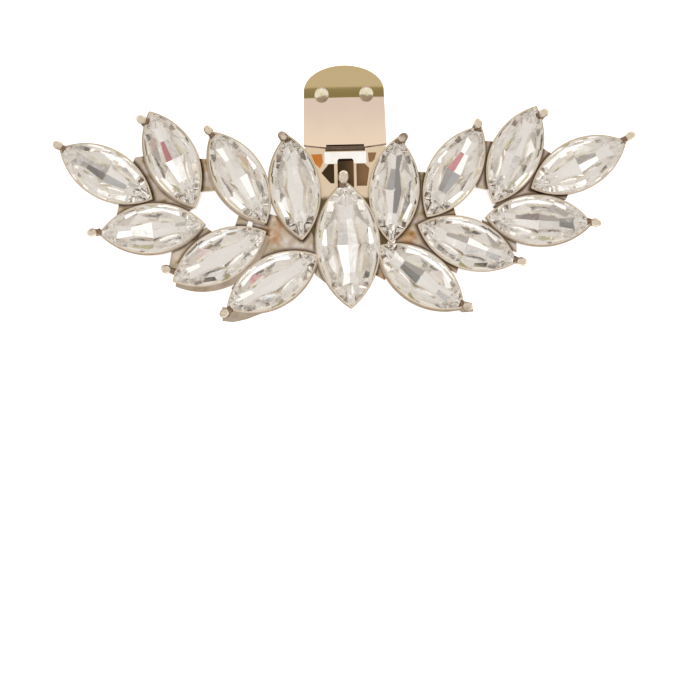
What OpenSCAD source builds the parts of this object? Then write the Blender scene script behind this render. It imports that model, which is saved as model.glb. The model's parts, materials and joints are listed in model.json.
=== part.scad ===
// A shoe clip: a cast cluster of fifteen foiled navette stones on a stamped clip, lying on its
// back with the lever swung open. Each wing's stones count inwards along the upper row, 1 to 4,
// and then inwards along the lower row, 5 to 7. Sizes are millimetres.

/* [Stones] */
// Length of a wing stone
stone_l = 15; // [14.5:0.1:15.2]
// Width of a wing stone
stone_w = 7; // [6.5:0.1:7.1]
// Length of the centre stone
centre_l = 18.2; // [17.5:0.1:18.5]
// Width of the centre stone
centre_w = 9; // [8.5:0.1:9.1]
// Height of a wing stone's crown above its girdle
crown_h = 0.95; // [0.7:0.05:1.3]
// Depth of a wing stone's pavilion below its girdle
pavilion_h = 2.1; // [1.8:0.05:2.15]
// Thickness of the girdle
girdle_h = 0.25; // [0.15:0.05:0.4]

/* [Setting] */
// Height of a wing cup's wall
cup_h = 2.75; // [2.7:0.05:3.2]
// Height of the centre cup's wall
centre_cup_h = 3.3; // [3.3:0.05:3.8]
// Thickness of the floor of each cup
cup_floor = 0.65; // [0.4:0.05:0.7]
// Thickness of each cup's wall
cup_wall = 0.35; // [0.3:0.05:0.4]
// How far a cup stands out past its stone
cup_rim = 0.25; // [0.2:0.05:0.3]
// Radius of the bead that ends a wing's claw
bead_r = 0.6; // [0.5:0.05:0.65]
// Height of that bead's middle above the setting's back
bead_z = 3.4; // [3.2:0.1:3.8]
// Width of the bridges between cups
bridge_w = 1.6; // [1.2:0.1:2]

/* [Clip] */
// Width of the base plate
base_w = 12; // [11.6:0.1:12.2]
// Thickness of the base plate at its windows
base_t = 0.7; // [0.6:0.05:0.8]
// Width of the lever's rounded end
lever_w = 12; // [11.5:0.1:12.3]
// Width of the lever at its lower corners
lever_low_w = 12.3; // [12:0.1:12.6]
// Length of the lever from the pin's axis to its tip
lever_l = 13.85; // [12.5:0.05:14]
// Thickness of the lever's sheet
lever_t = 0.6; // [0.5:0.05:0.7]
// How far the lever's tip is lifted, in degrees
tip_lift = 16; // [8:1:22]
// Radius of the hinge pin
pin_r = 0.5; // [0.4:0.05:0.5]

/* [Hidden] */
$fn = 64;

// Each row is one stone and its cup: name, middle x, middle y, turn of its outer tip, size,
// claw's reach from the middle, claw's swing from the tip, and how far a lower lip of the cup
// stands out to the side anticlockwise of the tip, or to the other side if it is negative.
stones = [
    ["stone_left_1", -35.0, 11.2, 150, "wing", 8.2, -2, 0],
    ["stone_left_2", -25.2, 13.1, 114, "wing", 7.4, 13, 0.2],
    ["stone_left_3", -15.4, 10.2, 119, "wing", 8.4, 3, 0.35],
    ["stone_left_4", -7.3, 8.6, 97, "wing", 7.75, 5.6, 0.2],
    ["stone_left_5", -28.4, 3.0, 184, "wing", 8.9, -1, 0.15],
    ["stone_left_6", -18.6, -1.3, 207, "wing", 8.1, -15, 0.8],
    ["stone_left_7", -10.9, -5.2, 209, "wing", 8.5, 3, 0.15],
    ["stone_centre", 0.3, 0.0, 92, "centre", 10.0, 0.5, 0.15],
    ["stone_right_1", 34.4, 11.0, 25, "wing", 8.7, 3, 0],
    ["stone_right_2", 25.1, 12.7, 65, "wing", 7.4, -11, 0],
    ["stone_right_3", 16.1, 10.4, 58, "wing", 7.9, 5, 0],
    ["stone_right_4", 7.25, 7.9, 85, "wing", 7.8, -6.2, 0],
    ["stone_right_5", 28.4, 3.0, -5, "wing", 8.4, 1, -0.15],
    ["stone_right_6", 17.8, -0.2, -22, "wing", 8.5, 2, 0],
    ["stone_right_7", 10.9, -4.9, -37, "wing", 8.2, 3, -0.3],
];

// Each row is one bridge between two cups: start x, start y, end x, end y.
bridges = [
    [-12.6, 8.6, -9.0, 8.8],
    [-14.4, 6.0, -16.0, 1.6],
    [-3.6, 3.6, -6.0, 4.6],
    [3.6, 3.0, 6.6, 4.4],
    [4.0, -3.4, 6.0, -4.6],
    [14.8, 6.6, 16.0, 2.0],
];
bridge_z = 0.3;
bridge_top = 1.5;

// Each row is one web, a low plate that fills the space between some cups: which, and its corners.
webs = [
    ["left 1, 2 and 5", [[-30.8, 13.6], [-29.2, 13.8], [-22.1, 6.1], [-26, 3.5], [-33.8, 4.6], [-33.3, 6.7]]],
    ["left 2 and 3", [[-21.5, 13.2], [-19, 13.1], [-18.6, 8.5], [-21.3, 8.3]]],
    ["left 5 and 6", [[-20.5, 3.1], [-19.1, 1.9], [-24.4, -3.4], [-26.2, -2.8], [-25.7, -0.5]]],
    ["left 6 and 7", [[-13.4, -1.4], [-11.7, -0.8], [-16.1, -7.1], [-17, -6]]],
    ["left 3, 4 and 7", [[-13.4, 5.4], [-5.6, 3.4], [-3.6, -1.6], [-8.6, -3.4], [-14.4, -1.2]]],
    ["left 7 and centre", [[-5.1, -2.4], [-3.6, -1.6], [-3.1, -5.5], [-4.6, -4.3]]],
    ["right 1, 2 and 5", [[29.2, 13.7], [30.4, 12.9], [32.9, 6.8], [32.5, 6], [26, 3.5], [21.7, 5.1]]],
    ["right 2 and 3", [[20.8, 14.9], [21.9, 14.8], [21.7, 9.2], [20.9, 7.7], [19.3, 8.1]]],
    ["right 3 and 4", [[10.3, 10.6], [11.9, 10.5], [12.5, 6], [16, 4.6], [15.7, 3.5], [12.5, 2], [10, 3.6]]],
    ["right 3, 4 and 7", [[13.6, 5.2], [8.2, 3.2], [6.6, -1.6], [9.4, -2.6], [14.2, 0.4]]],
    ["right 5 and 6", [[20.1, 3.3], [21.5, 2.7], [25.1, -0.2], [25.1, -1.6], [21.2, 0]]],
    ["right 6 and 7", [[10.1, 2.4], [12.4, 1], [16.6, -3.3], [16.2, -4.5], [10.1, -1]]],
];
web_top = 1.6;

// Each row is one toe, a spur of the lowest cup under its claw: which, and its corners.
toes = [
    ["left 7", [[-18.4, -8.7], [-12.1, -9.6], [-14.8, -10.6], [-16.8, -11], [-18.4, -10.8]]],
    ["right 7", [[15.7, -9.6], [17, -8.6], [18.3, -8.9], [18.5, -10.2], [16.9, -10.3]]],
];

// A navette's outline is two arcs. These give the arc's radius and its middle's offset.
function arc_r(l, w) = (l * l + w * w) / (4 * w);
function arc_off(l, w) = arc_r(l, w) - w / 2;
function is_centre(row) = row[4] == "centre";
function length_of(row) = is_centre(row) ? centre_l : stone_l;
function width_of(row) = is_centre(row) ? centre_w : stone_w;
function cup_height(row) = is_centre(row) ? centre_cup_h : cup_h;
function size_ratio(row) = width_of(row) / stone_w;

// A stone sits this far above the top of its cup's wall, so that its slopes clear the wall.
seat_gap = 0.3;
stone_gap = 0.05;
tip_trim = 0.25;
culet_trim = 0.04;
claw_post_r = 0.42;
claw_foot_z = 0.5;
claw_root_w = 0.9;
lip_z = 0.5;
lip_top = 2.3;

// The base plate lies just behind the setting. The pad is the part that grips.
glue_gap = 0.08;
pad_extra = 0.1;
pad_top_y = 7.5;
base_low_y = -3;
base_top_y = 14;
base_corner_r = 1.5;
clip_x = 0.2;
bar_y = 13.05;
bar_z = -0.2;
bar_l = 1.75;
bar_t = 0.8;
bar_tilt = 8;
bar_half_w = 3.1;
ear_in = 3.15;
ear_t = 0.6;
ear_r = 1.1;
slot_half_w = 1.2;
slot_low_y = 8.4;
slot_top_y = 12.85;
slot_corner_r = 0.4;
recess_depth = 0.45;

// Beside the slot the plate has two windows, and above them two recesses. Each row is the corners
// of one. The lugs are alike and reach up to the lever's lower edge; these are the right one's.
windows = [
    [[-1.7, 12.1], [-2.5, 12.1], [-3.6, 10.8], [-2.25, 9.25], [-1.7, 9.25]],
    [[1.6, 12.1], [2.8, 12.1], [3.5, 11.4], [3.3, 10], [3.1, 8.8], [1.6, 8.8]],
];
recesses = [
    [[-5.1, 13.6], [-3.45, 13.6], [-3.35, 12.4], [-3.8, 11.5], [-4.5, 12.2]],
    [[3.35, 13.7], [4.6, 13.7], [4.3, 12.7], [3.9, 12.3], [3.45, 12.3]],
];
lug = [[2.95, 12.4], [6, 12.4], [6, 14.5], [5.8, 14.58], [2.95, 14.2]];

pivot_y = 13.2;
pivot_z = -2.1;
pin_gap = 0.05;
pin_head_r = 0.8;
pin_head_t = 0.3;
barrel_r = 1.05;
barrel_half_w = 2.95;
leaf_t = 0.3;
leaf_half_w = 3.7;
leaf_tongue_half_w = 3.05;
leaf_low_y = 7.7;
leaf_shoulder_y = 12.04;
leaf_top_y = 12.65;
leaf_gap = 0.05;

// The lever, in its own frame: the pin's axis at the origin, its sheet parallel to the ground.
sheet_back = 0.9;
sheet_front = sheet_back + lever_t;
lever_low = 1.03;
lever_notch = 0.42;
notch_half_w = 2.8;
corner_rise = 0.45;
tip_ry = 3.7;
bend_start = 8.85;
bend_len = 2.3;
bend_r = bend_len / (tip_lift * PI / 180);
dimple_x = 3.34;
dimple_turn = 5;
dimple_r = 2.6;
dimple_depth = 0.22;

// A point of the bend, turned by a from its start, at radius r: its y and z.
function bend_point(a, r) = [bend_start + r * sin(a), sheet_back + bend_r - r * cos(a)];
dimple_middle = bend_point(dimple_turn, bend_r - lever_t - dimple_r + dimple_depth);

// The clip rests on its ears, on the back of the lower cups and on the lever's dimples.
low_row = stones[14];
rest_edge_y = low_row[2] - (arc_r(stone_l, stone_w) + cup_rim - arc_off(stone_l, stone_w) * cos(low_row[3]));
ear_reach = norm([pivot_y - rest_edge_y, pivot_z]);
rest_tilt = atan2(-pivot_z, pivot_y - rest_edge_y) + asin(ear_r / ear_reach);
dimple_slope = atan2(dimple_middle[1], dimple_middle[0]);
rest_slope = dimple_slope - asin((dimple_r + lever_t - ear_r) / norm(dimple_middle));
lever_drop = rest_slope + rest_tilt;

// Half of the object's span each way, for an origin at the middle of its base.
mid_x = 0.06;
low_y = -11.21;
high_y = 27.458;
mid_y = (low_y + high_y) / 2;
lift = -rest_edge_y * sin(rest_tilt);

stone_names = [for (row = stones) row[0]];

// Puts a shape that is drawn flat on the setting's back into its resting place.
module at_rest() {
    translate([-mid_x, -mid_y, lift])
    rotate([rest_tilt, 0, 0])
    children();
}

// A navette-shaped prism whose outline stands out past l by w by grow.
module navette(l, w, grow, z, h) {
    off = arc_off(l, w);
    intersection() {
        translate([0, -off, z])
        cylinder(r = arc_r(l, w) + grow, h = h, $fn = 180);
        translate([0, off, z])
        cylinder(r = arc_r(l, w) + grow, h = h, $fn = 180);
    }
}

// The same for a part of the clip, whose middle lies a little to the right of the cluster's.
module clip_at_rest() {
    at_rest()
    translate([clip_x, 0, 0])
    children();
}

// Moves to a stone's middle and turns x towards its outer tip.
module at_stone(row) {
    translate([row[1], row[2], 0])
    rotate([0, 0, row[3]])
    children();
}

// How far an outline reaches towards an angle measured from its broad side.
function tip_angle(l, w) = asin((l / 2 - tip_trim) / arc_r(l, w));
function tip_half(l, w) = arc_r(l, w) * cos(tip_angle(l, w)) - arc_off(l, w);
function reach(l, w, a) = abs(a) < tip_angle(l, w)
    ? arc_r(l, w) - arc_off(l, w) * cos(a)
    : (l / 2 - tip_trim) * sin(abs(a)) + tip_half(l, w) * cos(a);

// Each row is one kind of facet: its turn from the broad side, and its slope. The crown's facets
// leave a long table. Behind, four large ones meet in the culet, with smaller ones at the girdle.
crown_cut = [[0, 40], [23, 42], [45, 45], [90, 47]];
pavilion_cut = [[0, 40], [45, 30], [90, 25]];
culet_turn = 24;

// A facet's turn mirrored into every quarter of the outline that it doesn't lie square to.
function quarters(a) = a == 0 || a == 90 ? [a, a + 180] : [a, 180 - a, 180 + a, 360 - a];

// Each facet is a turn, a distance from the middle, a height and a slope. Slopes over 90 face down.
function facets(l, w, k) = let (culet_slope = atan(pavilion_h * k / reach(l, w, culet_turn))) concat(
    [for (row = crown_cut) for (a = quarters(row[0])) [a, reach(l, w, row[0]), girdle_h, row[1]]],
    [for (row = pavilion_cut) for (a = quarters(row[0])) [a, reach(l, w, row[0]), 0, 180 - row[1]]],
    [for (a = quarters(culet_turn)) [a, reach(l, w, culet_turn), 0, 180 - culet_slope]]
);

// Takes the first n facets off a shape, one after another.
module cut_facets(list, n) {
    if (n == 0) children();
    else difference() {
        cut_facets(list, n - 1) children();
        rotate([0, 0, 90 - list[n - 1][0]])
        translate([list[n - 1][1], 0, list[n - 1][2]])
        rotate([0, list[n - 1][3], 0])
        translate([-30, -30, 0])
        cube([60, 60, 30]);
    }
}

module stone(row) {
    l = length_of(row);
    w = width_of(row);
    k = size_ratio(row);
    list = facets(l, w, k);
    blank_low = culet_trim - pavilion_h * k;
    blank_h = girdle_h + (crown_h + pavilion_h) * k - culet_trim;
    color("aliceblue")
    at_rest()
    at_stone(row)
    translate([0, 0, cup_height(row) + seat_gap])
    cut_facets(list, len(list))
    intersection() {
        navette(l, w, 0, blank_low, blank_h);
        translate([tip_trim - l / 2, -w, blank_low - 1])
        cube([l - 2 * tip_trim, 2 * w, blank_h + 2]);
    }
}

module cup(row) {
    at_stone(row)
    navette(length_of(row), width_of(row), cup_rim, 0, cup_height(row));
    if (row[7] != 0)
        at_stone(row)
        translate([0, row[7], 0])
        navette(length_of(row), width_of(row), cup_rim, lip_z, lip_top - lip_z);
}

// The room inside a cup, and around its stone above the cup's wall.
module cup_hollow(row) {
    at_stone(row) {
        navette(length_of(row), width_of(row), cup_rim - cup_wall, cup_floor, 5);
        navette(length_of(row), width_of(row), stone_gap, cup_height(row), 5);
    }
}

module claw(row) {
    lift_extra = cup_height(row) - cup_h;
    translate([row[1], row[2], 0])
    rotate([0, 0, row[3] + row[6]]) {
        translate([row[5], 0, claw_foot_z])
        cylinder(r = claw_post_r, h = bead_z + lift_extra - claw_foot_z);
        translate([row[5], 0, bead_z + lift_extra])
        sphere(r = bead_r * size_ratio(row));
        translate([row[5] - 2, -claw_root_w / 2, claw_foot_z])
        cube([2, claw_root_w, cup_height(row) - claw_foot_z - 0.2]);
    }
}

module bridge(row) {
    run = [row[2] - row[0], row[3] - row[1]];
    translate([row[0], row[1], bridge_z])
    rotate([0, 0, atan2(run[1], run[0])])
    translate([0, -bridge_w / 2, 0])
    cube([norm(run), bridge_w, bridge_top - bridge_z]);
}

// An upright plate with the given outline, between two heights.
module plate(outline, low, top) {
    translate([0, 0, low])
    linear_extrude(top - low)
    polygon(outline);
}

module setting() {
    color("burlywood")
    at_rest()
    difference() {
        union() {
            for (row = stones) cup(row);
            for (row = stones) claw(row);
            for (row = bridges) bridge(row);
            for (row = webs) plate(row[1], bridge_z, web_top);
            for (row = toes) plate(row[1], lip_z, lip_top);
        }
        for (row = stones) cup_hollow(row);
    }
}

// An upright block between two corners, with its four upright edges rounded.
module rounded_block(low, high, r, z, h) {
    translate([low[0] + r, low[1], z])
    cube([high[0] - low[0] - 2 * r, high[1] - low[1], h]);
    translate([low[0], low[1] + r, z])
    cube([high[0] - low[0], high[1] - low[1] - 2 * r, h]);
    for (x = [low[0] + r, high[0] - r])
        for (y = [low[1] + r, high[1] - r])
            translate([x, y, z])
            cylinder(r = r, h = h);
}

// A cylinder along x whose middle is at x = 0.
module cross_cylinder(r, half_w) {
    rotate([0, 90, 0])
    cylinder(r = r, h = 2 * half_w, center = true);
}

module base_windows() {
    low_z = -glue_gap - base_t - 1;
    rounded_block([-slot_half_w, slot_low_y], [slot_half_w, slot_top_y], slot_corner_r, low_z, 3);
    for (outline = windows) plate(outline, low_z, 1);
    for (outline = recesses) plate(outline, -glue_gap - recess_depth, 1);
}

// The cross bar above the slot. Its face leans a little towards the cluster.
module cross_bar() {
    translate([0, bar_y, bar_z])
    rotate([bar_tilt, 0, 0])
    cube([2 * bar_half_w, bar_l, bar_t], center = true);
}

module ears() {
    for (side = [0, 1]) mirror([side, 0, 0])
        translate([ear_in, pivot_y, pivot_z]) {
            rotate([0, 90, 0])
            cylinder(r = ear_r, h = ear_t);
            translate([0, -ear_r, 0])
            cube([ear_t, base_top_y - pivot_y + ear_r, -pivot_z - glue_gap - base_t / 2]);
        }
}

module clip_base() {
    back_z = -glue_gap - base_t;
    color("navajowhite")
    clip_at_rest()
    difference() {
        union() {
            rounded_block([-base_w / 2, base_low_y], [base_w / 2, base_top_y], base_corner_r, back_z, base_t);
            rounded_block([-base_w / 2, base_low_y], [base_w / 2, pad_top_y], base_corner_r, back_z - pad_extra, base_t);
            for (side = [0, 1]) mirror([side, 0, 0]) plate(lug, back_z, -glue_gap);
            cross_bar();
            ears();
        }
        base_windows();
        translate([0, pivot_y, pivot_z])
        cross_cylinder(pin_r + pin_gap, base_w);
    }
}

// A strip behind the windows, with a narrower tongue between the ears.
module spring_leaf() {
    color("dimgray")
    clip_at_rest()
    translate([0, leaf_low_y, -glue_gap - base_t - leaf_gap - leaf_t]) {
        translate([-leaf_half_w, 0, 0])
        cube([2 * leaf_half_w, leaf_shoulder_y - leaf_low_y, leaf_t]);
        translate([-leaf_tongue_half_w, 0, 0])
        cube([2 * leaf_tongue_half_w, leaf_top_y - leaf_low_y, leaf_t]);
    }
}

module hinge_pin() {
    head_x = ear_in + ear_t + pin_gap;
    color("tan")
    clip_at_rest()
    translate([0, pivot_y, pivot_z]) {
        cross_cylinder(pin_r, head_x + pin_head_t / 2);
        for (side = [0, 1]) mirror([side, 0, 0])
            translate([head_x, 0, 0])
            rotate([0, 90, 0])
            cylinder(r = pin_head_r, h = pin_head_t);
    }
}

// The lever's outline seen from the front: corners that rise a little, flaring sides and half an
// ellipse on top.
tip_middle_y = lever_l - tip_ry;
lever_outline = concat(
    [[notch_half_w, lever_low], [lever_low_w / 2, lever_low + corner_rise]],
    [for (a = [0 : 5 : 180]) [lever_w / 2 * cos(a), tip_middle_y + tip_ry * sin(a)]],
    [[-lever_low_w / 2, lever_low + corner_rise], [-notch_half_w, lever_low]]
);

// The sheet's section from the barrel's side to the tip: flat, a short bend, and a lifted tip.
tip_run = lever_l - bend_start + 1;
function lifted(p) = bend_point(tip_lift, p[1]) + [p[0] * cos(tip_lift), p[0] * sin(tip_lift)];
sheet_section = concat(
    [[0, sheet_back]],
    [for (a = [0 : tip_lift / 8 : tip_lift]) bend_point(a, bend_r)],
    [lifted([tip_run, bend_r]), lifted([tip_run, bend_r - lever_t])],
    [for (a = [tip_lift : -tip_lift / 8 : 0]) bend_point(a, bend_r - lever_t)],
    [[0, sheet_front]]
);

// Extrudes a section drawn in y and z along x, to half_w each side of the middle.
module across(half_w) {
    rotate([90, 0, 90])
    linear_extrude(2 * half_w, center = true)
    children();
}

module lever_sheet() {
    intersection() {
        across(lever_w)
        polygon(sheet_section);
        linear_extrude(10)
        polygon(lever_outline);
    }
}

// The web that carries the sheet on the barrel.
lever_web = [[1.6, 1.15], [0.5, 0.6], [0.8, -0.3], [2.2, 0.95]];

// Moves to the middle of each dimple's ball and turns z square to the sheet.
module at_dimples() {
    for (side = [-1, 1])
        translate([side * dimple_x, dimple_middle[0], dimple_middle[1]])
        rotate([dimple_turn, 0, 0])
        children();
}

module lever_solid() {
    ball_r = dimple_r + lever_t;
    difference() {
        union() {
            lever_sheet();
            at_dimples()
            intersection() {
                sphere(r = ball_r);
                translate([-2, -2, -ball_r - 1])
                cube([4, 4, 1 + dimple_depth + lever_t / 2]);
            }
        }
        at_dimples()
        sphere(r = dimple_r);
        translate([-notch_half_w, 0, 0])
        cube([2 * notch_half_w, lever_low + lever_notch, 3]);
    }
}

module lever() {
    color("wheat")
    clip_at_rest()
    translate([0, pivot_y, pivot_z])
    rotate([-lever_drop, 0, 0])
    difference() {
        union() {
            lever_solid();
            cross_cylinder(barrel_r, barrel_half_w);
            across(barrel_half_w)
            polygon(lever_web);
        }
        cross_cylinder(pin_r + pin_gap, barrel_half_w + 1);
    }
}

setting();
clip_base();
spring_leaf();
hinge_pin();
lever();
for (row = stones) stone(row);
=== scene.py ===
import json
import math

import bmesh
import bpy
from mathutils import Matrix, Vector


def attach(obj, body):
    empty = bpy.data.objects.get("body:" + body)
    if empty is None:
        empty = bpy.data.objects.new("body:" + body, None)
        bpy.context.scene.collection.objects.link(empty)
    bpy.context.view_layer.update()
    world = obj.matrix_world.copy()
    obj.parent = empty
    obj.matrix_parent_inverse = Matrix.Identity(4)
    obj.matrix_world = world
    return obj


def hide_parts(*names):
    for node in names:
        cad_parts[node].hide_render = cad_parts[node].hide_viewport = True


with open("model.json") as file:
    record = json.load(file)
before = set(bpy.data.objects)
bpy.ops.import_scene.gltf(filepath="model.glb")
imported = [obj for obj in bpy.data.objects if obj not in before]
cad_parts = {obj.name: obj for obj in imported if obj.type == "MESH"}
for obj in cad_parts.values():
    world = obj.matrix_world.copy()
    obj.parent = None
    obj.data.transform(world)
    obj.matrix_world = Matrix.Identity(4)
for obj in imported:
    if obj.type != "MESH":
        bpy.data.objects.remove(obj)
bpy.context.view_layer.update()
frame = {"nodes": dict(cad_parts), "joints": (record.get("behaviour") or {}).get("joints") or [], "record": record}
mm = 0.001  # the lengths below are in millimetres where no note says otherwise
print("frame loaded")

# The clip's own frame: the front of the cluster looks along its z, its y runs to the lever, and
# its origin lies on the casting's back, behind the centre stone.
mounts = {mount["name"]: mount for mount in frame["record"]["mounts"]}
front = -Vector(mounts["jaw_pad"]["axis"])
restTilt = math.atan2(-front.y, front.z)
pivotInClip = Vector((0.2, 13.2, -2.1)) * mm
pivot = Vector(frame["joints"][0]["pos_m"])
turnClip = Matrix.Rotation(restTilt, 4, "X")
clipToRow = Matrix.Translation(pivot - turnClip @ pivotInClip) @ turnClip
rowToClip = clipToRow.inverted()
leverWay = turnClip @ Vector((0, 1, 0))


# Camera: looks straight at the cluster, as the photograph does.
cameraSet = {
    "lens": 120,
    "sensor": 36,
    "nearest": 0.01,  # nothing nearer to the lens shows, in metres
    "imageWidth": 680,
    "imageHeight": 682,
    "mmPerPixel": 0.147,
    "clusterPixel": (346, 245),  # where the photograph has the middle of the centre stone
    "clusterTurn": 1.255,  # how far the photograph has the cluster turned, in degrees
    "scaleHeight": 3.1,  # how high over the casting's back a pixel measures about mmPerPixel
}


def makeCamera(s):
    data = bpy.data.cameras.new("camera")
    data.lens = s["lens"]
    data.sensor_width = s["sensor"]
    data.clip_start = s["nearest"]
    camera = bpy.data.objects.new("camera", data)
    bpy.context.scene.collection.objects.link(camera)
    distance = s["lens"] / s["sensor"] * s["imageWidth"] * s["mmPerPixel"]
    right = s["imageWidth"] / 2 - s["clusterPixel"][0]
    up = s["clusterPixel"][1] - s["imageHeight"] / 2
    roll = Matrix.Rotation(math.radians(-s["clusterTurn"]), 4, "Z")
    aim = roll @ Vector((right, up, 0)) * s["mmPerPixel"]
    place = Matrix.Translation(Vector((aim.x, aim.y, s["scaleHeight"] + distance)) * mm)
    camera.matrix_world = clipToRow @ place @ roll
    bpy.context.scene.camera = camera


makeCamera(cameraSet)
print("camera placed")


# Small helpers for materials and node trees.
def newMaterial(name):
    material = bpy.data.materials.new(name)
    material.use_nodes = True
    return material, material.node_tree.nodes["Principled BSDF"]


def plug(tree, socket, value):
    if isinstance(value, bpy.types.NodeSocket):
        tree.links.new(value, socket)
    else:
        socket.default_value = value


def addNode(tree, kind, inputs=None, **settings):
    node = tree.nodes.new(kind)
    for key, value in settings.items():
        setattr(node, key, value)
    for key, value in (inputs or {}).items():
        plug(tree, node.inputs[key], value)
    return node


def mixColours(tree, factor, first, second):
    return addNode(tree, "ShaderNodeMix", {0: factor, 6: first, 7: second}, data_type="RGBA").outputs[2]


def calculate(tree, operation, first, second=0.0):
    return addNode(tree, "ShaderNodeMath", {0: first, 1: second}, operation=operation).outputs[0]


def vectorMath(tree, operation, first, second=(0, 0, 0)):
    return addNode(tree, "ShaderNodeVectorMath", {0: first, 1: second}, operation=operation).outputs


def dot(tree, first, second):
    return vectorMath(tree, "DOT_PRODUCT", first, second)["Value"]


def noise(tree, place, scale, detail, roughness):
    return addNode(tree, "ShaderNodeTexNoise", {
        "Vector": place, "Scale": scale, "Detail": detail, "Roughness": roughness,
    }).outputs["Fac"]


def ranged(tree, value, low, high, newLow, newHigh, kind="LINEAR"):
    return addNode(tree, "ShaderNodeMapRange", {
        "Value": value, "From Min": low, "From Max": high, "To Min": newLow, "To Max": newHigh,
    }, interpolation_type=kind).outputs["Result"]


def bumped(tree, height, strength, depth, **under):  # the depth is in millimetres
    return addNode(tree, "ShaderNodeBump", {
        "Height": height, "Strength": strength, "Distance": depth * mm, **under,
    }).outputs["Normal"]


# Where each stone lies in the clip's frame: its middle, its long way and its outline's arcs. The
# farthest vertices are the corners at its tips, past tipShare of its reach.
stoneSet = {
    "wing": {"length": 15, "width": 7},
    "centre": {"length": 18.2, "width": 9},
    "tipShare": 0.97,
}
stoneNodes = sorted(node for node in frame["nodes"] if node.startswith("stone_"))


def stonePlace(node, s):
    points = [(rowToClip @ vertex.co).xy for vertex in frame["nodes"][node].data.vertices]
    first = max(points, key=lambda point: (point - points[0]).length)
    second = max(points, key=lambda point: (point - first).length)
    middle = (first + second) / 2
    reach = (second - first).length / 2
    arms = [point - middle for point in points]
    tips = [arm for arm in arms if arm.length > s["tipShare"] * reach]
    along = sum((tip if tip.dot(second - first) > 0 else -tip for tip in tips), Vector((0, 0)))
    size = s["centre" if node == "stone_centre" else "wing"]
    radius = (size["length"] ** 2 + size["width"] ** 2) / (4 * size["width"]) * mm
    offset = radius - size["width"] / 2 * mm
    return {"middle": middle, "along": along.normalized(), "radius": radius, "offset": offset}


stonePlaces = [stonePlace(node, stoneSet) for node in stoneNodes]


def besideStones(place):  # how far a place lies outside the nearest stone's outline, in millimetres
    gaps = []
    for stone in stonePlaces:
        away = place.xy * mm - stone["middle"]
        aside = abs(away.dot(stone["along"].orthogonal())) + stone["offset"]
        gaps.append(math.hypot(away.dot(stone["along"]), aside) - stone["radius"])
    return min(gaps) / mm


def gapToStones(tree, place):  # the same in a material, in metres
    nearest = 1.0  # farther than any stone
    for stone in stonePlaces:
        away = vectorMath(tree, "SUBTRACT", place, stone["middle"].to_3d())["Vector"]
        along = dot(tree, away, stone["along"].to_3d())
        across = dot(tree, away, stone["along"].orthogonal().to_3d())
        aside = calculate(tree, "ADD", calculate(tree, "ABSOLUTE", across), stone["offset"])
        flat = addNode(tree, "ShaderNodeCombineXYZ", {"X": along, "Y": aside}).outputs["Vector"]
        gap = calculate(tree, "SUBTRACT", vectorMath(tree, "LENGTH", flat)["Value"], stone["radius"])
        nearest = calculate(tree, "MINIMUM", gap, nearest)
    return nearest


def clipPlace(tree):  # Object coordinates turned into the clip's own frame, in metres
    objectPlace = addNode(tree, "ShaderNodeTexCoord").outputs["Object"]
    return addNode(tree, "ShaderNodeMapping", {
        "Vector": objectPlace, "Location": rowToClip.to_translation(), "Rotation": rowToClip.to_euler(),
    }).outputs["Vector"]


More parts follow.
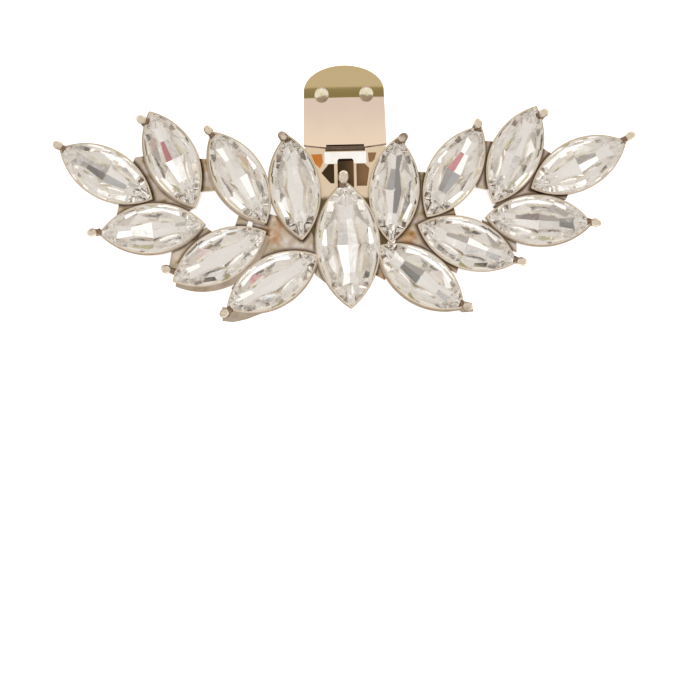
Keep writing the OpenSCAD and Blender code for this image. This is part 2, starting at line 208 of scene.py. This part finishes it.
# Plated metal: one colour turns into another along an axis of the clip, with stains between them.
# The bump is a slow ripple, whose strength changes along the same way, and a fine grain. The
# casting also has orange patches low down, and painted shade in the seams beside the stones.
platings = {
    # castGold is darker lower down, on the webs between the cups, and its seam colour darkens beside the stones:
    # both are painted shade.
    "castGold": {
        "first": (0.58, 0.48, 0.4, 1), "second": (0.84, 0.72, 0.59, 1), "axis": "Z", "span": (1.3, 2.5),
        "rough": (0.12, 0.28), "grain": 900, "bump": 0.1, "ripple": 520, "rippleBump": (0.9, 0.15),
        "patch": (0.5, 0.24, 0.09, 1), "patches": 190, "seam": (0.1, 0.06, 0.04, 1),
        "seamDepth": (2.0, 2.3), "webSeam": (0.25, 0.95), "rimSeam": (0.05, 0.24), "rimSeamShare": 0.5,
    },
    # wallGold is darker lower down, at the walls' feet: painted shade.
    "wallGold": {
        "first": (0.34, 0.24, 0.17, 1), "second": (0.78, 0.65, 0.52, 1), "axis": "Z", "span": (0.3, 2.3),
        "rough": (0.14, 0.3), "grain": 900, "bump": 0.1, "ripple": 420, "rippleBump": (0.5, 0.15),
    },
    # clawNeck: the necks' dark brown is painted shade between bead and stone.
    "clawNeck": {
        "first": (0.11, 0.07, 0.045, 1), "second": (0.3, 0.2, 0.13, 1), "axis": "Z", "span": (2.5, 3.4),
        "rough": (0.15, 0.3), "grain": 900, "bump": 0.1, "ripple": 600, "rippleBump": (0.3, 0.3),
    },
    # beadGold: painted shade on the beads' lower part, a painted highlight on their tops.
    "beadGold": {
        "first": (0.2, 0.13, 0.08, 1), "second": (0.82, 0.73, 0.6, 1), "axis": "Z", "span": (3.35, 4.0),
        "rough": (0.22, 0.3), "grain": 500, "bump": 0.02, "ripple": 300, "rippleBump": (0.03, 0.03),
    },
    "plateFront": {
        "first": (0.14, 0.1, 0.055, 1), "second": (0.82, 0.67, 0.53, 1), "axis": "Y", "span": (6.9, 7.6),
        "rough": (0.12, 0.22), "grain": 500, "bump": 0.03, "ripple": 150, "rippleBump": (0.1, 0.1),
    },
    # plateGold: darker further back along z, on the ears and the plate's back: painted shade.
    "plateGold": {
        "first": (0.7, 0.52, 0.36, 1), "second": (0.84, 0.67, 0.51, 1), "axis": "Z", "span": (-2.6, -0.6),
        "rough": (0.08, 0.2), "grain": 500, "bump": 0.03, "ripple": 150, "rippleBump": (0.05, 0.05),
    },
    # barGold: the bar's pale colour is a painted highlight.
    "barGold": {
        "first": (0.9, 0.81, 0.7, 1), "second": (0.9, 0.81, 0.7, 1), "axis": "Y", "span": (12.4, 13.8),
        "rough": (0.12, 0.2), "grain": 500, "bump": 0.02, "ripple": 150, "rippleBump": (0.03, 0.03),
    },
    # recessGold: a painted orange reflection on the left turns into painted brown shade on the right.
    "recessGold": {
        "first": (0.7, 0.25, 0.06, 1), "second": (0.34, 0.19, 0.1, 1), "axis": "X", "span": (-4.0, 4.0),
        "rough": (0.2, 0.35), "grain": 700, "bump": 0.05, "ripple": 300, "rippleBump": (0.2, 0.1),
    },
    # leverGold darkens towards the lever's tip: painted shade.
    "leverGold": {
        "first": (0.82, 0.66, 0.5, 1), "second": (0.68, 0.54, 0.44, 1), "axis": "Y", "span": (13.5, 22.5),
        "rough": (0.04, 0.08), "grain": 400, "bump": 0.01, "ripple": 170, "rippleBump": (0.05, 0.05),
    },
    # dimpleGold: a painted highlight on the dimples' upper part, painted shade below it.
    "dimpleGold": {
        "first": (0.42, 0.32, 0.22, 1), "second": (1.0, 0.93, 0.74, 1), "axis": "Y", "span": (22.3, 22.7),
        "rough": (0.28, 0.33), "grain": 500, "bump": 0.02, "ripple": 200, "rippleBump": (0.03, 0.03),
    },
    "shadedGold": {
        "first": (0.13, 0.085, 0.06, 1), "second": (0.2, 0.14, 0.1, 1), "axis": "Y", "span": (13.5, 15.5),
        "rough": (0.25, 0.4), "grain": 700, "bump": 0.05, "ripple": 300, "rippleBump": (0.1, 0.1),
    },
    # The spring leaf's dark brown, darkest on the left, is painted shade behind the windows.
    "springSteel": {
        "first": (0.07, 0.045, 0.024, 1), "second": (0.3, 0.17, 0.09, 1), "axis": "X", "span": (-0.6, 3.4),
        "rough": (0.25, 0.4), "grain": 700, "bump": 0.05, "ripple": 200, "rippleBump": (0.05, 0.05),
    },
}

# What all the platings have in common. The scales of noises, here and above, count per metre.
noiseSpan = (0.3, 0.7)  # a noise seldom leaves this
platingShared = {
    "stains": {"scale": 420, "detail": 4, "roughness": 0.6}, "stainShift": 0.4,
    "patches": {"detail": 2, "roughness": 0.5}, "patchSpan": (0.54, 0.64), "patchShare": 0.85,
    "ripple": {"detail": 1, "roughness": 0.4}, "rippleDepth": 0.5,
    "grain": {"detail": 5, "roughness": 0.6}, "grainDepth": 0.1,
}


# How strong the painted shade in a seam is, up to 1: below seamDepth it lies on the webs, beside
# the cups, and above it on the cups' rims.
def paintedSeamShade(tree, place, height, s):
    gap = gapToStones(tree, place)
    webNear, webFar = (end * mm for end in s["webSeam"])
    rimNear, rimFar = (end * mm for end in s["rimSeam"])
    low, high = (end * mm for end in s["seamDepth"])
    onWeb = ranged(tree, gap, webNear, webFar, 1, 0, "SMOOTHSTEP")
    onRim = ranged(tree, gap, rimNear, rimFar, 0, s["rimSeamShare"])
    up = ranged(tree, height, low, high, 0, 1)
    return addNode(tree, "ShaderNodeMix", {0: up, 2: onWeb, 3: onRim}).outputs[0]


def platedColour(tree, place, along, s):
    low, high = (end * mm for end in s["span"])
    shift = platingShared["stainShift"] * mm
    stains = noise(tree, place, **platingShared["stains"])
    stained = calculate(tree, "ADD", along, ranged(tree, stains, *noiseSpan, -shift, shift))
    share = ranged(tree, stained, low, high, 0, 1, "SMOOTHSTEP")
    first = s["first"]
    if "patch" in s:
        most = platingShared["patchShare"]
        patches = noise(tree, place, s["patches"], **platingShared["patches"])
        patched = ranged(tree, patches, *platingShared["patchSpan"], 0, most, "SMOOTHSTEP")
        first = mixColours(tree, patched, first, s["patch"])
    colour = mixColours(tree, share, first, s["second"])
    # The seam colour is painted shade beside the stones.
    if "seam" in s:
        colour = mixColours(tree, paintedSeamShade(tree, place, along, s), colour, s["seam"])
    return colour


def platedMetal(name, s):
    material, shader = newMaterial(name)
    tree = material.node_tree
    place = clipPlace(tree)
    along = addNode(tree, "ShaderNodeSeparateXYZ", {"Vector": place}).outputs[s["axis"]]
    plug(tree, shader.inputs["Base Color"], platedColour(tree, place, along, s))
    shader.inputs["Metallic"].default_value = 1
    grain = noise(tree, place, s["grain"], **platingShared["grain"])
    plug(tree, shader.inputs["Roughness"], ranged(tree, grain, *noiseSpan, *s["rough"]))
    ripple = noise(tree, place, s["ripple"], **platingShared["ripple"])
    low, high = (end * mm for end in s["span"])
    strength = ranged(tree, along, low, high, *s["rippleBump"])
    waves = bumped(tree, ripple, strength, platingShared["rippleDepth"])
    relief = bumped(tree, grain, s["bump"], platingShared["grainDepth"], Normal=waves)
    plug(tree, shader.inputs["Normal"], relief)
    return material


metal = {name: platedMetal(name, values) for name, values in platings.items()}

# Crystal: clear glass in front, and silver foil on the slopes behind, which are the faces that
# look towards the cluster's front by less than foilFacing.
crystalSet = {
    "glass": (0.985, 0.98, 0.97, 1), "ior": 1.55,
    "foil": (0.95, 0.935, 0.915, 1), "foilRough": 0.06, "foilFacing": -0.1,
    "ripple": {"scale": 500, "detail": 2, "roughness": 0.5}, "rippleBump": 0.04, "rippleDepth": 0.2,
    "flatten": 0.5,
}


def crystalGlass(s):
    material, shader = newMaterial("crystalGlass")
    shader.inputs["Base Color"].default_value = s["glass"]
    shader.inputs["IOR"].default_value = s["ior"]
    shader.inputs["Roughness"].default_value = 0
    shader.inputs["Transmission Weight"].default_value = 1
    return material


def crystalFoil(s):
    material, shader = newMaterial("crystalFoil")
    tree = material.node_tree
    shader.inputs["Base Color"].default_value = s["foil"]
    shader.inputs["Metallic"].default_value = 1
    shader.inputs["Roughness"].default_value = s["foilRough"]
    ripple = noise(tree, clipPlace(tree), **s["ripple"])
    plug(tree, shader.inputs["Normal"], bumped(tree, ripple, s["rippleBump"], s["rippleDepth"]))
    return material


glass = crystalGlass(crystalSet)
foil = crystalFoil(crystalSet)
print("materials made")


# Merged copies of the CAD solids, so that curves shade smoothly and edges can be softened. Faces
# that differ by less than flatten become one, edges under smoothBelow shade smoothly, and edges
# over softenAbove are softened. These are angles in degrees.
mergeWithin = 0.0005  # in millimetres, the distance between vertices that become one
metalSet = {
    "flatten": 0.3, "smoothBelow": 15, "softenAbove": 35, "softenSteps": 2, "flatWeight": 100,
}


def mergedCopy(node, name, flatten):
    mesh = frame["nodes"][node].data.copy()
    mesh.name = name
    shape = bmesh.new()
    shape.from_mesh(mesh)
    bmesh.ops.remove_doubles(shape, verts=shape.verts, dist=mergeWithin * mm)
    limit = math.radians(flatten)
    bmesh.ops.dissolve_limit(shape, angle_limit=limit, verts=shape.verts, edges=shape.edges)
    shape.to_mesh(mesh)
    shape.free()
    mesh.materials.clear()
    piece = bpy.data.objects.new(name, mesh)
    bpy.context.scene.collection.objects.link(piece)
    return piece


def smoothExcept(mesh, degrees):
    shape = bmesh.new()
    shape.from_mesh(mesh)
    limit = math.radians(degrees)
    for face in shape.faces:
        face.smooth = True
    for edge in shape.edges:
        edge.smooth = len(edge.link_faces) == 2 and edge.calc_face_angle(0) < limit
    shape.to_mesh(mesh)
    shape.free()


def dress(piece, body, slot, *nodes):
    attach(piece, body)
    if nodes:
        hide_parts(*nodes)


def addMetal(node, name, body, material, slot, edge):  # the softened edge's width is in millimetres
    piece = mergedCopy(node, name, metalSet["flatten"])
    smoothExcept(piece.data, metalSet["smoothBelow"])
    piece.data.materials.append(material)
    bevel = piece.modifiers.new("softEdges", "BEVEL")
    bevel.width = edge * mm
    bevel.segments = metalSet["softenSteps"]
    bevel.limit_method = "ANGLE"
    bevel.angle_limit = math.radians(metalSet["softenAbove"])
    flat = piece.modifiers.new("flatFaces", "WEIGHTED_NORMAL")
    flat.keep_sharp = True
    flat.weight = metalSet["flatWeight"]
    dress(piece, body, slot, node)
    return piece


# Gives the faces that the test picks another material. The test gets a face's middle in the
# clip's frame, in millimetres, and its outward direction there.
def otherMaterial(piece, material, picks):
    piece.data.materials.append(material)
    for face in piece.data.polygons:
        if picks(rowToClip @ face.center / mm, rowToClip.to_3x3() @ face.normal):
            face.material_index = len(piece.data.materials) - 1


def addCrystal(node, s):
    name = "crystal" + node.removeprefix("stone").title().replace("_", "")
    piece = mergedCopy(node, name, s["flatten"])
    piece.data.materials.append(glass)
    piece.data.materials.append(foil)
    for face in piece.data.polygons:
        face.use_smooth = False
        face.material_index = 1 if face.normal.dot(front) < s["foilFacing"] else 0
    dress(piece, "clip", "crystal", node)


# The casting's outer walls are paler than those that face another stone close by, whose darker
# colour is painted shade in the narrow gaps. They are the upright faces where a point lookOut in
# front of them is farther than clear from every stone.
settingSet = {"edge": 0.07, "wallLean": 0.3, "lookOut": 1.5, "clear": 1.0}


def onWall(place, outward):
    upright = abs(outward.z) < settingSet["wallLean"]
    return upright and besideStones(place + outward * settingSet["lookOut"]) > settingSet["clear"]


setting = addMetal("setting", "castSetting", "clip", metal["castGold"], "cast_gold", settingSet["edge"])
otherMaterial(setting, metal["wallGold"], onWall)

# The base plate's front lies in the stones' shade lower down. It has two recesses beside the
# cross bar, whose floors carry a painted orange reflection on the left and a painted brown shade
# on the right. The bar's face leans, and its paler colour is a painted highlight. The plate's
# lugs are drawn out to the lever's edge.
plateSet = {
    "edge": 0.06, "frontFacing": 0.999,
    "recessBelow": -0.3, "recessAbove": -0.7, "recessFrom": 11.5, "recessFacing": 0.9,
    "barFrom": 12, "barLean": -0.1, "barFacing": 0.98,
    "lugFrom": 14.1, "lugAbove": -1, "lugRise": 0.15,
}


def inRecess(place, outward):
    deep = plateSet["recessAbove"] < place.z < plateSet["recessBelow"]
    return deep and place.y > plateSet["recessFrom"] and outward.z > plateSet["recessFacing"]


def onFront(place, outward):
    return place.z > plateSet["recessBelow"] and outward.z > plateSet["frontFacing"]


def onBar(place, outward):
    leans = outward.y < plateSet["barLean"] and outward.z > plateSet["barFacing"]
    return leans and place.y > plateSet["barFrom"]


basePlate = addMetal("clip_base", "basePlate", "clip", metal["plateGold"], "plate_gold", plateSet["edge"])
for vertex in basePlate.data.vertices:
    place = rowToClip @ vertex.co / mm
    if place.y > plateSet["lugFrom"] and place.z > plateSet["lugAbove"]:
        vertex.co += leverWay * plateSet["lugRise"] * mm
otherMaterial(basePlate, metal["plateFront"], onFront)
otherMaterial(basePlate, metal["recessGold"], inRecess)
otherMaterial(basePlate, metal["barGold"], onBar)

# The spring leaf behind the plate, and the pin in its ears.
leafSet = {"edge": 0.04}
pinSet = {"edge": 0.06}
# The spring leaf's dark colour is painted shade.
addMetal("spring_leaf", "springLeaf", "clip", metal["springSteel"], "spring_steel", leafSet["edge"])
addMetal("hinge_pin", "hingePin", "clip", metal["plateGold"], "pin_gold", pinSet["edge"])

# The lever's cut edge and its barrel, next to the base plate, look dark: painted shade. Its dimples
# look matt, with a painted highlight on their upper part and painted shade below it.
leverSet = {
    "edge": 0.08, "barrelHalfWidth": 3.0, "barrelBelow": 14.75, "cutBelow": 15.5, "cutFacing": -0.7,
    "dimpleX": 3.34, "dimpleY": 22.4, "dimpleReach": 1.35,
}


def inShade(place, outward):
    atCut = place.y < leverSet["cutBelow"] and outward.y < leverSet["cutFacing"]
    aside = abs(place.x - pivotInClip.x / mm)
    atBarrel = place.y < leverSet["barrelBelow"] and aside < leverSet["barrelHalfWidth"]
    return atCut or atBarrel


def inDimple(place, outward):
    aside = abs(place.x - pivotInClip.x / mm) - leverSet["dimpleX"]
    return outward.z > 0 and math.hypot(aside, place.y - leverSet["dimpleY"]) < leverSet["dimpleReach"]


leverPlate = addMetal("lever", "leverPlate", "lever", metal["leverGold"], "lever_gold", leverSet["edge"])
otherMaterial(leverPlate, metal["shadedGold"], inShade)
otherMaterial(leverPlate, metal["dimpleGold"], inDimple)
print("metal pieces made")

for node in stoneNodes:
    addCrystal(node, crystalSet)
print("crystals made")


# Claws: each bead is drawn out towards its stone, with a neck between them whose dark colour is
# painted shade. The beads carry painted shade low down and a painted highlight on top. The centre
# stone's claw is the highest and the largest. A claw's top is the casting's highest vertex within
# apart of it, and lies above the rest of the casting.
clawSet = {
    "above": 3.45, "apart": 1.5, "centreAbove": 4.3, "centreSize": 1.25,
    "beadRadius": 0.66, "beadDrop": 0.6, "beadStretch": 1.25, "beadFlat": 0.95, "beadShift": 0.12,
    "beadSegments": 24, "beadRings": 14,
    "neckLength": 1.0, "neckWide": 0.5, "neckNarrow": 0.42, "neckDrop": 0.36, "neckOut": 0.6,
    "neckSides": 20,
}


def clawPlaces(s):
    tops = [rowToClip @ vertex.co / mm for vertex in frame["nodes"]["setting"].data.vertices]
    beads = []
    for top in sorted((top for top in tops if top.z > s["above"]), key=lambda top: -top.z):
        if all((top - bead).length > s["apart"] for bead in beads):
            beads.append(top)
    corners = []
    for node in stoneNodes:
        corners += [rowToClip @ vertex.co / mm for vertex in frame["nodes"][node].data.vertices]
    places = []
    for bead in beads:
        corner = min(corners, key=lambda corner: (corner - bead).xy.length)
        way = (corner - bead).xy
        size = s["centreSize"] if bead.z > s["centreAbove"] else 1
        middle = bead - Vector((0, 0, s["beadDrop"] * size))
        places.append({"middle": middle * mm, "turn": math.atan2(way.y, way.x), "size": size})
    return places


def clawBead(tree, start, s):  # a ball drawn out along x
    ball = addNode(tree, "GeometryNodeMeshUVSphere", {
        "Segments": s["beadSegments"], "Rings": s["beadRings"], "Radius": start["beadRadius"],
    }).outputs["Mesh"]
    return addNode(tree, "GeometryNodeTransform", {
        "Geometry": ball, "Scale": Vector((s["beadStretch"], 1, s["beadFlat"])),
        "Translation": Vector((s["beadShift"] * mm, 0, 0)),
    }).outputs["Geometry"]


def clawNeck(tree, start, s):  # a cone laid along x, a part of the bead's radius out
    cone = addNode(tree, "GeometryNodeMeshCone", {
        "Vertices": s["neckSides"], "Radius Top": start["neckWide"],
        "Radius Bottom": start["neckNarrow"], "Depth": start["neckLength"],
    }).outputs["Mesh"]
    return addNode(tree, "GeometryNodeTransform", {
        "Geometry": cone, "Rotation": Vector((0, math.radians(90), 0)),
        "Translation": Vector((s["beadRadius"] * s["neckOut"] * mm, 0, -s["neckDrop"] * mm)),
    }).outputs["Geometry"]


def onEachClaw(tree, points, shape, material, placing):
    smooth = addNode(tree, "GeometryNodeSetShadeSmooth", {"Geometry": shape}).outputs["Geometry"]
    placed = addNode(tree, "GeometryNodeInstanceOnPoints", {
        "Points": points, "Instance": smooth, **placing,
    }).outputs["Instances"]
    real = addNode(tree, "GeometryNodeRealizeInstances", {"Geometry": placed}).outputs["Geometry"]
    return addNode(tree, "GeometryNodeSetMaterial", {
        "Geometry": real, "Material": material,
    }).outputs["Geometry"]


def pointValue(tree, name):
    return addNode(tree, "GeometryNodeInputNamedAttribute", {
        "Name": name,
    }, data_type="FLOAT").outputs["Attribute"]


def clawTree(s):
    tree = bpy.data.node_groups.new("clawCaps", "GeometryNodeTree")
    tree.interface.new_socket("Geometry", in_out="INPUT", socket_type="NodeSocketGeometry")
    tree.interface.new_socket("Geometry", in_out="OUTPUT", socket_type="NodeSocketGeometry")
    sizes = {}
    for name in ("beadRadius", "neckLength", "neckWide", "neckNarrow"):
        socket = tree.interface.new_socket(name, in_out="INPUT", socket_type="NodeSocketFloat")
        sizes[name] = socket.identifier
    start = tree.nodes.new("NodeGroupInput").outputs
    spin = addNode(tree, "ShaderNodeCombineXYZ", {"Z": pointValue(tree, "turn")}).outputs["Vector"]
    placing = {"Rotation": spin, "Scale": pointValue(tree, "size")}
    shapes = [
        (clawNeck(tree, start, s), metal["clawNeck"]),
        (clawBead(tree, start, s), metal["beadGold"]),
    ]
    joined = tree.nodes.new("GeometryNodeJoinGeometry")
    for shape, material in shapes:
        claw = onEachClaw(tree, start["Geometry"], shape, material, placing)
        tree.links.new(claw, joined.inputs["Geometry"])
    end = tree.nodes.new("NodeGroupOutput")
    tree.links.new(joined.outputs["Geometry"], end.inputs["Geometry"])
    return tree, sizes


def addClaws(s):
    places = clawPlaces(s)
    points = bpy.data.meshes.new("clawPoints")
    points.from_pydata([place["middle"] for place in places], [], [])
    for name in ("turn", "size"):
        values = points.attributes.new(name, "FLOAT", "POINT").data
        values.foreach_set("value", [place[name] for place in places])
    maker = bpy.data.objects.new("clawMaker", points)
    bpy.context.scene.collection.objects.link(maker)
    tree, sizes = clawTree(s)
    nodes = maker.modifiers.new("claws", "NODES")
    nodes.node_group = tree
    for name, identifier in sizes.items():
        nodes[identifier] = s[name] * mm
    made = maker.evaluated_get(bpy.context.evaluated_depsgraph_get())
    mesh = bpy.data.meshes.new_from_object(made)
    bpy.data.objects.remove(maker)
    mesh.transform(clipToRow)
    claws = bpy.data.objects.new("clawCaps", mesh)
    bpy.context.scene.collection.objects.link(claws)
    dress(claws, "clip", "cast_gold")
    print("claws made:", len(places))


addClaws(clawSet)

# The floor glows, so that it shows as white as the photograph's ground. Its half size is in metres.
floorSet = {
    "halfSize": 1.5, "colour": (0.9, 0.9, 0.9, 1), "rough": 0.9,
    "glowColour": (1, 1, 1, 1), "glow": 0.8,
}


def makeFloor(s):
    mesh = bpy.data.meshes.new("floor")
    half = s["halfSize"]
    corners = [(-half, -half, 0), (half, -half, 0), (half, half, 0), (-half, half, 0)]
    mesh.from_pydata(corners, [], [(0, 1, 2, 3)])
    floor = bpy.data.objects.new("floor", mesh)
    bpy.context.scene.collection.objects.link(floor)
    material, shader = newMaterial("paleFloor")
    shader.inputs["Base Color"].default_value = s["colour"]
    shader.inputs["Roughness"].default_value = s["rough"]
    shader.inputs["Emission Color"].default_value = s["glowColour"]
    shader.inputs["Emission Strength"].default_value = s["glow"]
    mesh.materials.append(material)


# Soft studio light all round: a warm pale room, with round cards that stand about the clip, a
# strip of light and shade that runs over it from the cluster's side to the lever's, and in front
# of that the small pink cards whose glints show in some stones.
# Turns go from the right towards the lever, and tilts from the cluster's front. These, the radii,
# the softness of the cards and the strip's places are in degrees. The strip's half width and its
# softness are sines of angles to the side.
studio = {
    "room": (0.815, 0.78, 0.745, 1),
    "cards": [
        {"turn": 58, "tilt": 71, "radius": 9, "colour": (1.32, 1.32, 1.3, 1)},
        {"turn": 56, "tilt": 81, "radius": 6, "colour": (1.25, 1.25, 1.23, 1)},
        {"turn": 39, "tilt": 69, "radius": 4.5, "colour": (1.32, 1.32, 1.3, 1)},
        {"turn": 142, "tilt": 63, "radius": 6, "colour": (1.2, 1.2, 1.18, 1)},
        {"turn": 172, "tilt": 65, "radius": 9.5, "colour": (1.16, 1.15, 1.11, 1)},
        {"turn": 213, "tilt": 62, "radius": 3, "colour": (1.2, 1.18, 1.14, 1)},
        {"turn": 347, "tilt": 70, "radius": 4.5, "colour": (1.2, 1.19, 1.16, 1)},
        {"turn": 304, "tilt": 58.5, "radius": 3.5, "colour": (1.2, 1.18, 1.16, 1)},
        {"turn": 287, "tilt": 71, "radius": 3.5, "colour": (1.3, 1.28, 1.25, 1)},
        {"turn": 145, "tilt": 25, "radius": 4, "colour": (1.2, 1.2, 1.2, 1)},
        {"turn": 34, "tilt": 62, "radius": 2.8, "colour": (0.13, 0.12, 0.11, 1)},
        {"turn": 106, "tilt": 72, "radius": 8, "colour": (0.42, 0.41, 0.41, 1)},
        {"turn": 137, "tilt": 67.5, "radius": 2.4, "colour": (0.17, 0.16, 0.17, 1)},
        {"turn": 126, "tilt": 74, "radius": 4, "colour": (0.16, 0.16, 0.15, 1)},
        {"turn": 163, "tilt": 24, "radius": 4.5, "colour": (0.42, 0.38, 0.34, 1)},
        {"turn": 205, "tilt": 61, "radius": 3.6, "colour": (0.22, 0.21, 0.2, 1)},
        {"turn": 220, "tilt": 69, "radius": 3.5, "colour": (0.22, 0.2, 0.19, 1)},
        {"turn": 233, "tilt": 60, "radius": 4.5, "colour": (0.38, 0.34, 0.31, 1)},
        {"turn": 269.5, "tilt": 63, "radius": 3.5, "colour": (0.34, 0.31, 0.28, 1)},
        {"turn": 283, "tilt": 65, "radius": 4, "colour": (0.38, 0.34, 0.31, 1)},
        {"turn": 306, "tilt": 68, "radius": 3.5, "colour": (0.2, 0.15, 0.15, 1)},
        {"turn": 324, "tilt": 65, "radius": 4, "colour": (0.24, 0.21, 0.2, 1)},
        {"turn": 337, "tilt": 57, "radius": 2.2, "colour": (0.2, 0.17, 0.14, 1)},
        {"turn": 18.5, "tilt": 69, "radius": 3, "colour": (0.14, 0.14, 0.13, 1)},
        {"turn": 6, "tilt": 70, "radius": 3, "colour": (0.28, 0.26, 0.26, 1)},
        {"turn": 45, "tilt": 59.5, "radius": 4, "colour": (0.6, 0.53, 0.4, 1)},
        {"turn": 357.5, "tilt": 55.5, "radius": 2.2, "colour": (0.55, 0.39, 0.25, 1)},
        {"turn": 272, "tilt": 20, "radius": 8, "colour": (0.5, 0.46, 0.42, 1)},
        {"turn": 306, "tilt": 27, "radius": 5, "colour": (0.46, 0.42, 0.4, 1)},
        {"turn": 6, "tilt": 30, "radius": 12, "colour": (0.7, 0.66, 0.61, 1)},
        {"turn": 73, "tilt": 60, "radius": 3.5, "colour": (0.26, 0.24, 0.22, 1)},
        {"turn": 222, "tilt": 55, "radius": 4, "colour": (0.5, 0.46, 0.42, 1)},
        {"turn": 113, "tilt": 62, "radius": 3, "colour": (0.3, 0.28, 0.27, 1)},
        {"turn": 217, "tilt": 81, "radius": 3.5, "colour": (0.24, 0.22, 0.2, 1)},
        {"turn": 326.9, "tilt": 66.5, "radius": 3.1, "colour": (0.42, 0.4, 0.4, 1)},
    ],
    "pinkCards": [
        {"turn": 84.5, "tilt": 60, "radius": 2.3, "colour": (0.62, 0.15, 0.19, 1)},
        {"turn": 299.5, "tilt": 63, "radius": 2, "colour": (0.62, 0.2, 0.24, 1)},
        {"turn": 355, "tilt": 61, "radius": 2.6, "colour": (0.46, 0.14, 0.16, 1)},
        {"turn": 289.5, "tilt": 20.5, "radius": 1.4, "colour": (0.62, 0.36, 0.32, 1)},
    ],
    "pinkSoftness": 0.7,
    "cardSoftness": 0.6,
    "stripFrom": -30,
    "stripTo": 60,
    "strip": [
        (-18, (1.12, 1.22, 1.33, 0)),
        (-15, (1.12, 1.22, 1.33, 1)),
        (-7, (1.12, 1.22, 1.33, 1)),
        (-3, (1.0, 0.97, 0.93, 1)),
        (4, (0.92, 0.87, 0.78, 1)),
        (8, (0.84, 0.8, 0.62, 1)),
        (13, (0.78, 0.75, 0.46, 1)),
        (19, (0.43, 0.4, 0.19, 1)),
        (30, (0.37, 0.34, 0.15, 1)),
        (39, (0.35, 0.32, 0.14, 1)),
        (40.8, (1.05, 1.03, 1.02, 1)),
        (48, (1.05, 1.03, 1.02, 1)),
        (53, (1.05, 1.03, 1.02, 0)),
    ],
    "stripHalfWidth": 0.085,
    "stripSoftness": 0.05,
}


def inStudio(turn, tilt):  # the direction at a turn and a tilt
    turn, tilt = math.radians(turn), math.radians(tilt)
    level = Vector((1, 0, 0)) * math.cos(turn) + leverWay * math.sin(turn)
    return front * math.cos(tilt) + level * math.sin(tilt)


def addCards(tree, direction, colour, cards, softness):
    for card in cards:
        facing = dot(tree, direction, inStudio(card["turn"], card["tilt"]))
        outer = math.cos(math.radians(card["radius"] + softness))
        inner = math.cos(math.radians(card["radius"] - softness))
        inCard = ranged(tree, facing, outer, inner, 0, 1, "SMOOTHSTEP")
        colour = mixColours(tree, inCard, colour, card["colour"])
    return colour


def addStrip(tree, direction, colour, s):
    tilt = calculate(tree, "ARCTAN2", dot(tree, direction, leverWay), dot(tree, direction, front))
    share = ranged(tree, tilt, math.radians(s["stripFrom"]), math.radians(s["stripTo"]), 0, 1)
    ramp = addNode(tree, "ShaderNodeValToRGB", {"Fac": share})
    while len(ramp.color_ramp.elements) < len(s["strip"]):
        ramp.color_ramp.elements.new(0.5)  # each is moved to its place below
    for element, (degrees, shade) in zip(ramp.color_ramp.elements, s["strip"]):
        element.position = (degrees - s["stripFrom"]) / (s["stripTo"] - s["stripFrom"])
        element.color = shade
    across = calculate(tree, "ABSOLUTE", dot(tree, direction, (1, 0, 0)))
    edge = s["stripHalfWidth"]
    within = ranged(tree, across, edge, edge + s["stripSoftness"], 1, 0, "SMOOTHSTEP")
    strength = calculate(tree, "MULTIPLY", within, ramp.outputs["Alpha"])
    return mixColours(tree, strength, colour, ramp.outputs["Color"])


def makeWorld(s):
    world = bpy.data.worlds.new("studio")
    bpy.context.scene.world = world
    world.use_nodes = True
    tree = world.node_tree
    direction = addNode(tree, "ShaderNodeTexCoord").outputs["Generated"]
    colour = addCards(tree, direction, s["room"], s["cards"], s["cardSoftness"])
    colour = addStrip(tree, direction, colour, s)
    colour = addCards(tree, direction, colour, s["pinkCards"], s["pinkSoftness"])
    plug(tree, tree.nodes["Background"].inputs["Color"], colour)


makeFloor(floorSet)
makeWorld(studio)

# Light goes round many times inside a foiled stone.
bounces = {"inAll": 24, "mirrored": 20, "through": 20}
scene = bpy.context.scene
scene.view_settings.view_transform = "Standard"
scene.cycles.max_bounces = bounces["inAll"]
scene.cycles.glossy_bounces = bounces["mirrored"]
scene.cycles.transmission_bounces = bounces["through"]
print("stage and light made")
